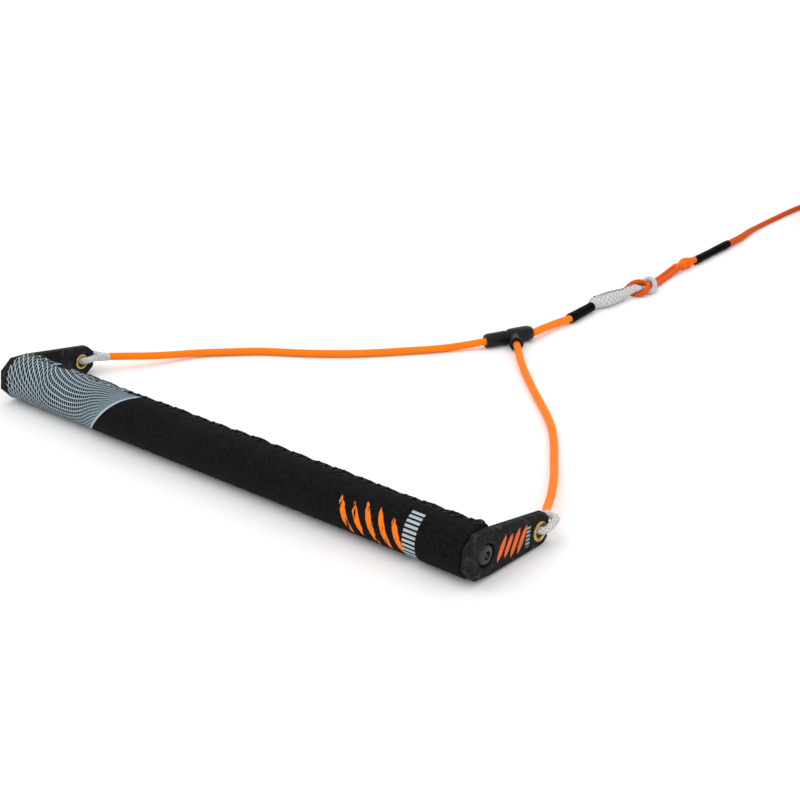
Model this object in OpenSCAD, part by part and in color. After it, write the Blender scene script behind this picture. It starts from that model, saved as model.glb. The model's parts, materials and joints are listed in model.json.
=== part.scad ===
// Tow rope handle for wakeboarding: a padded bar with two end caps, a rope bridle that joins in a
// T-shaped moulding, a stitched end loop, and the towline that is hitched to it.
// X runs along the bar, +Y points along the rope, +Z is up. The handle lies on the surface z = 0,
// on its grip and on the tips of its end caps. The origin is under the middle of the handle's box.

/* [Handle] */
// Length of the grip between the end caps
grip_len = 381; // [330:1:400]
// Outer diameter of the grip cover
grip_d = 31.2; // [30.6:0.1:32]
// Outer diameter of the bar tube
tube_d = 22; // [21.6:0.1:22.4]
// Wall of the bar tube
tube_wall = 1.6; // [1.4:0.1:1.8]

/* [End caps] */
// Thickness of an end cap
cap_t = 5.8; // [5.6:0.1:6]
// Distance from the bar's axis to the rope eyelet
pivot_y = 50; // [49.5:0.5:50.5]
// Distance from the bar's axis to the arm's tip
tip_y = 61; // [60.5:0.5:61.5]
// Width of the chamfer round the outer face
cap_chamfer = 1.2; // [0.8:0.1:1.4]

/* [Ropes] */
// Diameter of a bridle leg
leg_d = 5; // [4.6:0.1:5.2]
// Diameter of the white braid of the eyes
eye_d = 4.4; // [4:0.1:4.5]
// Diameter of the throat rope
throat_d = 5.5; // [5:0.1:5.6]
// Diameter of the towline
line_d = 4; // [3.6:0.1:4]

/* [Towline coil] */
// Turns side by side in the coil
coil_columns = 8; // [7:1:8]
// Layers of turns in the coil
coil_layers = 8; // [6:1:8]
// Radius at the middle of the turns
coil_r = 45; // [44:1:46]

/* [Hidden] */
$fn = 48;

grip_r = grip_d / 2;
half = grip_len / 2;
tube_r = tube_d / 2;
bore_r = tube_r - tube_wall;
foam_r = grip_r - 2.2;

// End cap outline as [along the arm, height] from the bar's axis; the lower half mirrors it
shoulder = [tip_y - 5.5, 9.8];
tip = [tip_y, 5.3];
cap_half = [[-16, 6.1], [-7.8, 13.7], [4.7, 14], shoulder, tip];
cap_outline = concat(cap_half, [for (i = [len(cap_half) - 1:-1:0]) [cap_half[i][0], -cap_half[i][1]]]);

// The bar rolls until the arms' lower corners reach the surface that the grip lies on
tilt = asin(grip_r / norm(shoulder)) - atan2(shoulder[1], shoulder[0]);
front_y = cap_half[0][0] * cos(tilt) - cap_half[0][1] * sin(tilt);
back_y = tip[0] * cos(tilt) + tip[1] * sin(tilt);
axis_y = -(front_y + back_y) / 2;

boss_len = 4;
plug_len = 24;
screw_r = 3.9;
screw_len = 20;
head_r = 6.5;
head_h = 3.4;
sink_r = 7.2;
sink_depth = 3.2;
barrel_r = 4.5;
hole_r = 3.9;
flange_r = 6.2;
flange_t = 0.8;
rim_r = 5.1;
rim_t = 0.7;

// Routes of the ropes, in millimetres from the origin
eye_in_left = [
    [-193.4, 27.6, 11.2], [-190.4, 27.6, 11.2], [-188.2, 28.9, 11.2], [-187.3, 32, 11.1], [-187.5, 36, 10.8],
    [-187, 40, 10.4], [-186, 43.6, 10], [-184.6, 46.6, 9.6]];
eye_out_left = [
    [-193.4, 27.6, 11.2], [-196.6, 27.6, 11.2], [-198.9, 29, 11.3], [-199.7, 32, 11.3], [-199.1, 36.4, 11.1],
    [-198.4, 39.3, 10.9], [-196.7, 41.3, 10.6], [-193.7, 42.5, 10.3], [-187.8, 44.8, 9.8]];
eye_in_right = [
    [193.4, 27.6, 11], [190.4, 27.6, 11], [188.2, 28.9, 11], [187.3, 32, 11], [187.5, 36, 10.8],
    [187.2, 40, 10.5], [186.6, 44.4, 10.3], [186, 48.8, 10]];
eye_out_right = [
    [193.4, 27.6, 11], [196.6, 27.6, 11], [198.9, 29, 11.3], [199.7, 32, 12.1], [199.3, 36.2, 13],
    [198.7, 39.4, 13.4], [197.1, 41.9, 13.2], [193.9, 43.8, 12.3], [190, 46, 11.1], [186.8, 48.2, 10.2]];
neck_left = [[-186.4, 43.2, 9.9], [-184, 47.6, 9.5]];
neck_right = [[188.4, 45.4, 10.5], [186, 49, 10]];
route_left = [
    [-184, 47.4, 9.5], [-178, 56.4, 8.4], [-172, 65.4, 7.2], [-162, 84, 4.8], [-152, 103, 2.9],
    [-137, 119, 2.5], [-122, 133, 2.5], [-104, 145, 2.5], [-87, 157, 2.5], [-70, 171, 2.5], [-55, 186, 2.5],
    [-41, 202, 2.5], [-27, 218.6, 2.6], [-14, 235.6, 3.9], [-7.4, 244.6, 4.9], [-3.6, 252, 5]];
route_right = [
    [186.4, 48, 10], [184, 51.4, 9.7], [180, 58.4, 9], [174, 69.8, 8], [167.6, 80.6, 7], [154, 102, 4.6],
    [139, 123.4, 2.8], [125, 143, 2.5], [109.4, 162, 2.5], [91.4, 179.6, 2.5], [72, 197, 2.5],
    [52, 215.6, 2.6],
    [33, 234, 3.6], [15, 253.6, 4.9], [9.8, 259, 5]];
tee_start = [-7, 245.4, 5];
tee_joint = [3, 266.2, 5];
tee_end = [9.2, 279.4, 5];
tee_mouth = [13.8, 254.8, 5];
throat_route = [
    [7.6, 275.6, 5], [9.2, 279.4, 5], [9.8, 290, 4.8], [10.1, 301, 4.3], [10.4, 310, 3.9],
    [11.4, 316.6, 3.8], [12.4, 323, 3.8], [12.1, 338, 3.8]];
sleeve_start = [12.4, 323, 3.8];
sleeve_end = [10.9, 354, 3.8];
stem_route = [
    [12, 339, 3.8], [10.9, 353, 3.8], [9.8, 357.6, 4.1], [11, 362, 4.6], [13.4, 367.6, 4.9],
    [14.8, 375.6, 4.9], [15.4, 383.6, 4.5], [15.8, 390, 4.2], [17, 395.2, 5.6], [18.4, 399, 6.5],
    [18.8, 402, 6.8]];
stem_radii = [2.7, 2.7, 3.8, 4.5, 4.8, 4.8, 4.3, 3.7, 3.2, 2.9, 2.5];
bight_route = [
    [16.6, 400.4, 6.5], [16.2, 404, 6.4], [15.2, 408.4, 4.5], [14, 412.6, 2.3], [12.4, 417, 2.1],
    [11.6, 421.2, 2.3], [12.6, 424.8, 4.6], [15.4, 426.5, 6.4], [18.6, 425.6, 6.8], [21.8, 423.6, 6.6],
    [24.4, 420.5, 5.2], [25.9, 417.3, 3.3], [25.3, 414, 2.2], [22.4, 412, 2.1], [20.3, 409.8, 2.9],
    [20.1, 406.8, 5], [20.8, 403.4, 6.5], [20.8, 400.4, 6.6]];
hitch_route = [
    [12.4, 471, 4.4], [12.6, 460, 2.8], [13.8, 448, 2.1], [15, 438, 2.1], [15.8, 430, 2.1],
    [16.1, 424.8, 2.2], [15.9, 420.6, 4.2], [14, 417.4, 6.2], [10.8, 415.8, 5.9], [8, 413, 4.2],
    [7.6, 409, 2.6], [10, 405.2, 2.1], [13.6, 402.6, 2.1], [17.8, 401.8, 2.1], [22, 403.2, 2.3],
    [24.7, 406.8, 3.8], [24.3, 411, 5.8], [22.2, 414.2, 6.5], [20.2, 417.6, 5.4], [20.1, 421.4, 3.3],
    [20.3, 425.6, 2.1], [20.1, 431, 2.1], [19.1, 438, 2.1], [17.9, 448, 2.1], [16.7, 460, 2.8],
    [16.5, 471, 4.4]];
knot_start = [14.8, 469, 4.6];
knot_end = [15.9, 492.6, 4.4];
line_sleeve_start = [16.4, 493, 3.3];
line_sleeve_end = [15.8, 546.4, 3.3];
splice_route = [
    [16.4, 494, 3.3], [16.2, 522, 3.3], [16, 548, 3.2], [15.4, 562, 2.9], [14.4, 574, 2.7], [12.6, 586, 2.5],
    [11.5, 596, 2.2], [11.2, 606, 2.1]];
splice_radii = [2.6, 2.6, 2.7, 2.7, 2.6, 2.4, 2.1, 2];
line_route = [
    [11.2, 606.5, 2], [11, 618, 2], [11.1, 636, 2], [11.5, 656, 2], [12.5, 673, 2], [14, 684, 2.1],
    [16, 696, 2.5], [19.4, 708, 3]];
coil_x = 80;
coil_y = 711;
coil_z = 1.1;
coil_w = coil_columns * line_d;
coil_h = coil_layers * line_d;
tie_t = 1;
tie_w = 14;
tow_gap = 6.5;
tow_span = 70;

function unit(v) = v / norm(v);
function heading(p, i) = unit(p[min(i + 1, len(p) - 1)] - p[max(i - 1, 0)]);
function ring(c, t, r, n) =
    let (side = unit(cross(t, [0, 0, 1])), up = cross(side, t))
    [for (j = [0:n - 1]) c + r * (cos(360 * j / n) * side + sin(360 * j / n) * up)];

// A tube swept along points, with one radius or one radius for each point
module tube(path, r, sides = 10) {
    count = len(path);
    points = [for (i = [0:count - 1])
        each ring(path[i], heading(path, i), is_list(r) ? r[i] : r, sides)];
    walls = [for (i = [0:count - 2], j = [0:sides - 1])
        let (a = i * sides + j, b = i * sides + (j + 1) % sides)
        each [[a, b, b + sides], [a, b + sides, a + sides]]];
    ends = [[for (j = [sides - 1:-1:0]) j], [for (j = [0:sides - 1]) (count - 1) * sides + j]];
    polyhedron(points, concat(walls, ends));
}

// Turns a shape drawn along Z so that it runs from one point towards another
module towards(p, q) {
    d = q - p;
    translate(p) rotate([0, acos(d[2] / norm(d)), atan2(d[1], d[0])]) children();
}

// A round rod from one point to another
module rod(p, q, r) towards(p, q) cylinder(h = norm(q - p), r = r);

// Places a shape drawn round the bar's axis, with X along the bar
module on_bar() translate([0, axis_y, grip_r]) rotate([-tilt, 0, 0]) children();

// A shape of revolution about the bar's axis, drawn as [radius, distance along the bar]
module turned() rotate([0, 90, 0]) rotate_extrude() children();

// The same part at both ends of the bar: side is -1 on the left and 1 on the right
module at_end(side) on_bar() mirror([side < 0 ? 1 : 0, 0, 0]) translate([half, 0, 0]) children();

module bar_tube() color("silver") on_bar() turned()
    translate([bore_r, -half]) square([tube_wall, grip_len]);

module foam_sleeve() color("dimgray") on_bar() turned()
    translate([tube_r, -half + 4]) square([foam_r - tube_r, grip_len - 8]);

module grip_cover() color([0.08, 0.08, 0.08]) on_bar() turned() difference() {
    polygon([
        [tube_r + 0.1, -half + 0.5], [grip_r - 0.9, -half + 0.5], [grip_r, -half + 2.5],
        [grip_r, half - 2.5], [grip_r - 0.9, half - 0.5], [tube_r + 0.1, half - 0.5]]);
    translate([0, -half + 3.9]) square([foam_r + 0.05, grip_len - 7.8]);
}

// Short stitches across the seam that closes the cover, along the back of the bar
module seam_lacing() color("gray") on_bar()
    for (i = [0:31]) rotate([-22, 0, 0]) translate([-half + 20 + i * 11, -2.5, grip_r + 0.4])
        rod([0, 0, 0], [2, 5, 0], 0.35);

module end_plug(side) color("white") at_end(side) difference() {
    turned() difference() {
        translate([0, -boss_len - 0.1 - plug_len]) square([bore_r - 0.05, plug_len]);
        translate([bore_r - 1.8, -boss_len - plug_len / 2]) square([2, 2]);
    }
    translate([-boss_len - 18, 0, 0]) rotate([0, 90, 0]) cylinder(h = 30, r = 5.5);
}
module end_plug_left() end_plug(-1);
module end_plug_right() end_plug(1);

module plug_insert(side) color("goldenrod") at_end(side)
    turned() translate([screw_r + 0.1, -boss_len - 17.9]) square([5.45 - screw_r - 0.1, 17.5]);
module plug_insert_left() plug_insert(-1);
module plug_insert_right() plug_insert(1);

module seal_ring(side) color([0.1, 0.1, 0.1]) at_end(side)
    turned() translate([bore_r - 0.9, -boss_len - plug_len / 2 + 1]) circle(r = 0.84);
module seal_ring_left() seal_ring(-1);
module seal_ring_right() seal_ring(1);

// Arm of the cap with a chamfer round its outer face, which is wider at the tip where the eye turns
module cap_arm() rotate([90, 0, 90]) hull() {
    linear_extrude(cap_t - 2) polygon(cap_outline);
    linear_extrude(cap_t - cap_chamfer) intersection() {
        polygon(cap_outline);
        translate([-30, -20]) square([29 + tip_y, 40]);
    }
    linear_extrude(cap_t) intersection() {
        offset(delta = -cap_chamfer) polygon(cap_outline);
        translate([-30, -20]) square([27.2 + tip_y, 40]);
    }
}

module end_cap(side) color([0.17, 0.17, 0.18]) at_end(side) difference() {
    union() {
        cap_arm();
        translate([-boss_len, 0, 0]) rotate([0, 90, 0]) cylinder(h = boss_len + 1, r = bore_r - 0.05);
    }
    translate([-boss_len - 1, 0, 0]) rotate([0, 90, 0])
        cylinder(h = boss_len + cap_t + 2, r = screw_r + 0.3);
    translate([cap_t - sink_depth, 0, 0]) rotate([0, 90, 0]) cylinder(h = sink_depth + 1, r = sink_r);
    translate([-1, pivot_y, 0]) rotate([0, 90, 0]) cylinder(h = cap_t + 2, r = barrel_r + 0.05);
}
module end_cap_left() end_cap(-1);
module end_cap_right() end_cap(1);

// Button-head screw with a hexagon socket
module cap_screw(side) color([0.12, 0.12, 0.13]) at_end(side) difference() {
    turned() translate([0, cap_t - sink_depth]) {
        polygon([
            [0, -screw_len], [screw_r - 0.6, -screw_len], [screw_r, -screw_len + 0.6], [screw_r, 0],
            [head_r, 0], [head_r, 0.9], [head_r - 0.6, 1.9], [head_r - 1.9, 2.8], [head_r - 3.6, head_h],
            [0, head_h]]);
    }
    translate([cap_t - sink_depth + 0.9, 0, 0]) rotate([0, 90, 0]) cylinder(h = head_h, r = 2.7, $fn = 6);
}
module cap_screw_left() cap_screw(-1);
module cap_screw_right() cap_screw(1);

// Flanged brass eyelet through the arm, with its flange on the outer face
module eyelet(side) color("darkgoldenrod") at_end(side) translate([0, pivot_y, 0])
    turned() polygon([
        [hole_r, -rim_t], [barrel_r, -rim_t], [barrel_r, cap_t], [flange_r, cap_t], [flange_r, cap_t + 0.4],
        [flange_r - 0.5, cap_t + flange_t], [hole_r + 0.5, cap_t + flange_t], [hole_r, cap_t + 0.4]]);
module eyelet_left() eyelet(-1);
module eyelet_right() eyelet(1);

// Ring that the eyelet's barrel is rolled over, on the inner face
module eyelet_washer(side) color("goldenrod") at_end(side) translate([0, pivot_y, 0])
    turned() translate([barrel_r + 0.02, -rim_t]) square([rim_r - barrel_r, rim_t]);
module eyelet_washer_left() eyelet_washer(-1);
module eyelet_washer_right() eyelet_washer(1);

// Braided eye through an eyelet, closed by its spliced neck
module eye(inner, outer, neck) color("gainsboro") {
    tube(inner, eye_d / 2, 8);
    tube(outer, eye_d / 2, 8);
    tube(neck, [3.3, 2.8], 8);
}
module eye_left() eye(eye_in_left, eye_out_left, neck_left);
module eye_right() eye(eye_in_right, eye_out_right, neck_right);

module leg_left() color("darkorange") tube(route_left, leg_d / 2);
module leg_right() color("darkorange") tube(route_right, leg_d / 2);

// Rubber moulding where the right leg joins the left one, ribbed along the top of its thinner half
module tee_moulding() color([0.1, 0.1, 0.1]) difference() {
    run = norm(tee_end - tee_start);
    step = norm(tee_joint - tee_start) - 5;
    union() {
        towards(tee_start, tee_end) {
            rotate_extrude() polygon([
                [0, 0], [4.4, 0], [4.85, 0.6], [4.85, step], [4.3, step + 0.6], [4.3, step + 1.6],
                [4.95, step + 4], [4.95, run - 3], [4.6, run - 1], [3.9, run], [0, run]]);
            for (i = [0:6]) translate([-4.4, 0, 3 + 2 * i]) cube([1.6, 3.4, 0.9], center = true);
        }
        rod(tee_joint, tee_mouth, 4.5);
    }
    rod(tee_start - unit(tee_end - tee_start), tee_start + 7.6 * unit(tee_end - tee_start), leg_d / 2 + 0.1);
    rod(tee_mouth + unit(tee_mouth - tee_joint), [9.6, 259.2, 5], leg_d / 2 + 0.1);
    rod(tee_end - 4.6 * unit(tee_end - tee_start), tee_end + unit(tee_end - tee_start), throat_d / 2 + 0.1);
}

module throat_rope() color("darkorange") tube(throat_route, throat_d / 2);

module shrink_sleeve(p, q, r_in, r_out) difference() {
    rod(p, q, r_out);
    rod(p - unit(q - p), q + unit(q - p), r_in);
}
module throat_sleeve() color([0.05, 0.05, 0.05]) shrink_sleeve(sleeve_start, sleeve_end, 2.85, 3.6);

// White loop: a doubled, stitched stem that opens into a bight
module end_loop() color("gainsboro") {
    tube(stem_route, stem_radii, 10);
    tube(bight_route, 2.1, 8);
}

// Stitches along the top of the loop's stem
module loop_whipping() color("silver")
    for (i = [0:7]) translate([0.2 * i, 3 * i, -0.08 * i]) rod([11.4, 364, 9.4], [15, 365, 9.4], 0.3);

module line_loop() color("darkorange") tube(hitch_route, line_d / 2, 8);

module line_knot() color("darkorange") towards(knot_start, knot_end) rotate_extrude() {
    span = norm(knot_end - knot_start);
    polygon([[0, 0], [2.8, 0], [4.2, 4], [4.6, span / 2], [4.3, span - 5], [2.9, span], [0, span]]);
}

module line_sleeve() color([0.05, 0.05, 0.05])
    shrink_sleeve(line_sleeve_start, line_sleeve_end, 2.8, 3.1);

module line_splice() color("chocolate") tube(splice_route, splice_radii, 10);

module mainline() color("chocolate") tube(line_route, line_d / 2);

// Outer shape of the wound towline
module mainline_coil() color("chocolate") translate([coil_x, coil_y, coil_z]) rotate_extrude($fn = 72)
    translate([coil_r, coil_h / 2]) polygon([for (a = [[1, 0.8], [0.8, 1], [-0.8, 1], [-1, 0.8],
        [-1, -0.8], [-0.8, -1], [0.8, -1], [1, -0.8]]) [a[0] * coil_w / 2, a[1] * coil_h / 2]]);

// Two straps that hold the coil together
module coil_ties() color([0.1, 0.1, 0.1]) for (a = [90, 270])
translate([coil_x, coil_y, 0]) rotate([0, 0, a]) {
    inner = sqrt(pow(coil_r - coil_w / 2, 2) - pow(tie_w / 2, 2)) - 0.2;
    wide = coil_r + coil_w / 2 + 0.1 - inner;
    difference() {
        translate([inner - tie_t, -tie_w / 2, 0]) cube([wide + 2 * tie_t, tie_w, coil_h + 2 * tie_t + 0.3]);
        translate([inner, -tie_w / 2 - 1, tie_t]) cube([wide, tie_w + 2, coil_h + 0.3]);
    }
}

// Loop at the towline's far end, lying along the top of the coil
function tow_point(a, r, z) = [coil_x + r * cos(a), coil_y + r * sin(a), z];
tow_z = coil_z + coil_h + line_d / 2 + 0.1;
tow_route = [
    tow_point(tow_span / 2, coil_r - 2.1, tow_z + 2),
    each [for (a = [20:-14:-22]) tow_point(a, coil_r - tow_gap, tow_z)],
    tow_point(-30, coil_r - 4.6, tow_z), tow_point(-33, coil_r, tow_z), tow_point(-30, coil_r + 4.6, tow_z),
    each [for (a = [-22:14:20]) tow_point(a, coil_r + tow_gap, tow_z)],
    tow_point(tow_span / 2, coil_r + 2.1, tow_z + 2)];
module tow_loop() color("chocolate") tube(tow_route, line_d / 2, 8);

module tow_sleeve() color([0.05, 0.05, 0.05])
    rod(tow_point(tow_span / 2, coil_r, tow_z + 2.3),
        tow_point(tow_span / 2 + 26, coil_r, tow_z + 2.3), 4.3);

bar_tube();
foam_sleeve();
grip_cover();
seam_lacing();
end_plug_left();
end_plug_right();
plug_insert_left();
plug_insert_right();
seal_ring_left();
seal_ring_right();
end_cap_left();
end_cap_right();
cap_screw_left();
cap_screw_right();
eyelet_left();
eyelet_right();
eyelet_washer_left();
eyelet_washer_right();
eye_left();
eye_right();
leg_left();
leg_right();
tee_moulding();
throat_rope();
throat_sleeve();
end_loop();
loop_whipping();
line_loop();
line_knot();
line_sleeve();
line_splice();
mainline();
mainline_coil();
coil_ties();
tow_loop();
tow_sleeve();
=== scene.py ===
"""Looks of the tow rope handle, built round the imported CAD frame.

Lengths in the tables and in the mesh code are millimetres in the CAD frame, and add_mesh()
turns them into metres. X runs along the bar, +Y points along the rope and +Z is up.
"""

import json
import math

import bmesh
import bpy
import numpy as np
from mathutils import Matrix, Vector


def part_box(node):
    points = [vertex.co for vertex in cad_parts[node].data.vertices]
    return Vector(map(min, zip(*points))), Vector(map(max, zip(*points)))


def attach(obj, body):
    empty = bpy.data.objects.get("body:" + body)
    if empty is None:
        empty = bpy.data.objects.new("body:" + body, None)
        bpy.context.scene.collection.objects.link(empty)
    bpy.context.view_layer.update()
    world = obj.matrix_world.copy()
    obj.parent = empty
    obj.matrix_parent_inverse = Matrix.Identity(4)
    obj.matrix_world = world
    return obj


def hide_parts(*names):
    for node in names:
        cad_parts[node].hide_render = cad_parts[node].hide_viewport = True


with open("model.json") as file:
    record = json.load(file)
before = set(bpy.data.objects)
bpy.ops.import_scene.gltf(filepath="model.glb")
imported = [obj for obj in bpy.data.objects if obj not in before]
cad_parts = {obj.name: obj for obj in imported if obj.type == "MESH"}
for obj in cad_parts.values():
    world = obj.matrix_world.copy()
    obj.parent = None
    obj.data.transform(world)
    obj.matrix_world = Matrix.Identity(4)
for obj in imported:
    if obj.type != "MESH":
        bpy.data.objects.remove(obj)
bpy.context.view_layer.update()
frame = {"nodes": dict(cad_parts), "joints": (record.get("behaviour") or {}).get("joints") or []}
MM = 0.001

# ---- places taken from the frame


def box_mm(node):
    low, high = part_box(node)
    return np.array(low) / MM, np.array(high) / MM


GRIP_LOW, GRIP_HIGH = box_mm("grip_cover")
GRIP_R = (GRIP_HIGH[1] - GRIP_LOW[1]) / 2
AXIS_Y = (GRIP_LOW[1] + GRIP_HIGH[1]) / 2
AXIS_Z = (GRIP_LOW[2] + GRIP_HIGH[2]) / 2
HALF = GRIP_HIGH[0]
joint = frame["joints"][0]
PIVOT_Y, PIVOT_Z = joint["pos_m"][1] / MM, joint["pos_m"][2] / MM
TILT = math.atan2(AXIS_Z - PIVOT_Z, PIVOT_Y - AXIS_Y)
CAP_FACE = box_mm("end_cap_right")[1][0]

# ---- camera

VIEW_AZIMUTH, VIEW_ELEVATION, VIEW_ROLL = (math.radians(a) for a in (39.187, 23.538, 0.239))
VIEW_TARGET = Vector((-8.431, 160.372, 0)) * MM
VIEW_DISTANCE = 1264.2 * MM
LENS = 83.15
SHIFT = (-0.0106, -0.0204)


def make_camera():
    ca, sa = math.cos(VIEW_AZIMUTH), math.sin(VIEW_AZIMUTH)
    ce, se = math.cos(VIEW_ELEVATION), math.sin(VIEW_ELEVATION)
    back = Vector((sa * ce, -ca * ce, se))
    level = Vector((ca, sa, 0))
    rise = back.cross(level)
    cr, sr = math.cos(VIEW_ROLL), math.sin(VIEW_ROLL)
    right = cr * level + sr * rise
    up = cr * rise - sr * level
    data = bpy.data.cameras.new("camera")
    data.lens = LENS
    data.sensor_width = 36
    data.shift_x, data.shift_y = SHIFT
    data.clip_start, data.clip_end = 0.05, 30
    camera = bpy.data.objects.new("camera", data)
    turn = Matrix((right, up, back)).transposed().to_4x4()
    camera.matrix_world = Matrix.Translation(VIEW_TARGET + back * VIEW_DISTANCE) @ turn
    bpy.context.scene.collection.objects.link(camera)
    bpy.context.scene.camera = camera


make_camera()

# ---- shader arithmetic


def arithmetic(operation, swap=False):
    """A method of Value that adds one math node."""
    def method(self, *others):
        return self.math(operation, *others, swap=swap)
    return method


class Value:
    """A shader value that takes arithmetic."""

    def __init__(self, graph, socket):
        self.graph, self.socket = graph, socket

    def math(self, operation, *others, swap=False):
        node = self.graph.tree.nodes.new("ShaderNodeMath")
        node.operation = operation
        given = [self, *others]
        for socket, value in zip(node.inputs, given[::-1] if swap else given):
            self.graph.put(socket, value)
        return Value(self.graph, node.outputs[0])

    __add__ = __radd__ = arithmetic("ADD")
    __sub__, __rsub__ = arithmetic("SUBTRACT"), arithmetic("SUBTRACT", swap=True)
    __mul__ = __rmul__ = arithmetic("MULTIPLY")
    __truediv__, __pow__ = arithmetic("DIVIDE"), arithmetic("POWER")
    floor, fract, abs, sin = (arithmetic(name) for name in ("FLOOR", "FRACT", "ABSOLUTE", "SINE"))
    max, below, above = (arithmetic(name) for name in ("MAXIMUM", "LESS_THAN", "GREATER_THAN"))

    def root(self):
        return self.max(0.0).math("SQRT")

    def step(self, low, high):
        """0 below low and 1 above high, with a soft edge between; low may be above high."""
        return self.graph.node(
            "MapRange", {"Value": self, "From Min": low, "From Max": high}, interpolation_type="SMOOTHSTEP")


class Graph:
    """A node material under construction."""

    def __init__(self, name):
        self.material = bpy.data.materials.new(name)
        self.material.use_nodes = True
        self.tree = self.material.node_tree
        self.tree.nodes.clear()

    def put(self, socket, value):
        if isinstance(value, Value):
            self.tree.links.new(value.socket, socket)
        elif isinstance(value, tuple) and len(value) == 3 and socket.type == "RGBA":
            socket.default_value = (*value, 1)
        else:
            socket.default_value = value

    def node(self, kind, inputs=None, out=0, **settings):
        node = self.tree.nodes.new("ShaderNode" + kind)
        for key, value in settings.items():
            setattr(node, key, value)
        for key, value in (inputs or {}).items():
            self.put(node.inputs[key], value)
        return Value(self, node.outputs[out])

    def surface(self):
        """The two coordinates of the piece's own surface map."""
        return self.axes(self.node("UVMap", uv_map="surface"))[:2]

    def place(self):
        return self.node("TexCoord", out=3)

    def axes(self, vector):
        node = self.node("SeparateXYZ", {0: vector}).socket.node
        return [Value(self, node.outputs[i]) for i in range(3)]

    def join(self, x, y):
        return self.node("CombineXYZ", {0: x, 1: y})

    def noise(self, scale, detail=3.0, vector=None):
        return self.node("TexNoise", {"Vector": vector or self.place(), "Scale": scale, "Detail": detail})

    def mix(self, share, a, b):
        node = self.tree.nodes.new("ShaderNodeMix")
        node.data_type = "RGBA"
        for index, value in ((0, share), (6, a), (7, b)):
            self.put(node.inputs[index], value)
        return Value(self, node.outputs[2])

    def bump(self, height, distance):
        return self.node("Bump", {"Height": height, "Distance": distance})

    def finish(self, color, roughness, normal=None, **sockets):
        shader = self.tree.nodes.new("ShaderNodeBsdfPrincipled")
        self.put(shader.inputs["Base Color"], color)
        self.put(shader.inputs["Roughness"], roughness)
        if normal is not None:
            self.put(shader.inputs["Normal"], normal)
        for key, value in sockets.items():
            self.put(shader.inputs[key.replace("_", " ")], value)
        output = self.tree.nodes.new("ShaderNodeOutputMaterial")
        self.tree.links.new(shader.outputs[0], output.inputs[0])
        return self.material


def rgb(*levels):
    """A linear colour from sRGB values of 0 to 255."""
    shares = [level / 255 for level in levels]
    return tuple(v / 12.92 if v <= 0.04045 else ((v + 0.055) / 1.055) ** 2.4 for v in shares)


# ---- mesh code

ROPE_SIDES = 32
LINE_SIDES = 20
LINE_RELIEF = 0.035  # depth of the line's braid, in widths
END_BULGE = 0.45  # how far a tube's rounded end stands out, in radii
THINNEST = 0.05  # radius where a rounded end closes


def smooth(points, step):
    """Points about step apart on a smooth curve through the given ones, and how far along they are.

    Extra columns, such as a radius, follow along linearly."""
    points = np.array(points, float)
    knots, extra = points[:, :3], points[:, 3:]
    at = lengths(knots)
    count = len(knots)
    gap = np.diff(at)
    matrix, right = np.zeros((count, count)), np.zeros((count, 3))
    matrix[0, 0] = matrix[-1, -1] = 1
    for i in range(1, count - 1):
        matrix[i, i - 1: i + 2] = gap[i - 1], 2 * (gap[i - 1] + gap[i]), gap[i]
        right[i] = 6 * ((knots[i + 1] - knots[i]) / gap[i] - (knots[i] - knots[i - 1]) / gap[i - 1])
    bend = np.linalg.solve(matrix, right)
    where = np.linspace(0, at[-1], max(3, math.ceil(at[-1] / step) + 1))
    i = np.clip(np.searchsorted(at, where, side="right") - 1, 0, count - 2)
    h = gap[i][:, None]
    a, b = (at[i + 1] - where)[:, None], (where - at[i])[:, None]
    curve = (
        (bend[i] * a**3 + bend[i + 1] * b**3) / (6 * h)
        + (knots[i] / h - bend[i] * h / 6) * a
        + (knots[i + 1] / h - bend[i + 1] * h / 6) * b)
    if extra.shape[1]:
        followed = [np.interp(where, at, extra[:, k]) for k in range(extra.shape[1])]
        curve = np.column_stack([curve, *followed])
    return curve


def lengths(path):
    return np.concatenate([[0], np.cumsum(np.linalg.norm(np.diff(path[:, :3], axis=0), axis=1))])


def headings(path):
    ahead = np.gradient(path, axis=0)
    return ahead / np.linalg.norm(ahead, axis=1)[:, None]


def carried_sides(path):
    """Two directions across the path at each point, turned as little as possible along it."""
    ahead = headings(path)
    side = np.cross(ahead[0], (0, 0, 1))
    sides = []
    for t in ahead:
        side = side - t * (side @ t)
        side /= np.linalg.norm(side)
        sides.append(side)
    sides = np.array(sides)
    return sides, np.cross(sides, ahead)


def add_mesh(name, points, faces, material, body, uv=None, replaces=(), flat=False, outward=False):
    mesh = bpy.data.meshes.new(name)
    mesh.from_pydata((np.reshape(points, (-1, 3)) * MM).tolist(), [], faces)
    mesh.update()
    if uv is not None:
        mesh.uv_layers.new(name="surface").data.foreach_set("uv", np.asarray(uv, np.float32).ravel())
    if outward:
        work = bmesh.new()
        work.from_mesh(mesh)
        bmesh.ops.recalc_face_normals(work, faces=work.faces)
        work.to_mesh(mesh)
        work.free()
    mesh.polygons.foreach_set("use_smooth", [not flat] * len(mesh.polygons))
    mesh.materials.append(material)
    obj = bpy.data.objects.new(name, mesh)
    bpy.context.scene.collection.objects.link(obj)
    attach(obj, body)
    if replaces:
        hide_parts(*replaces)
    return obj


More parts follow.
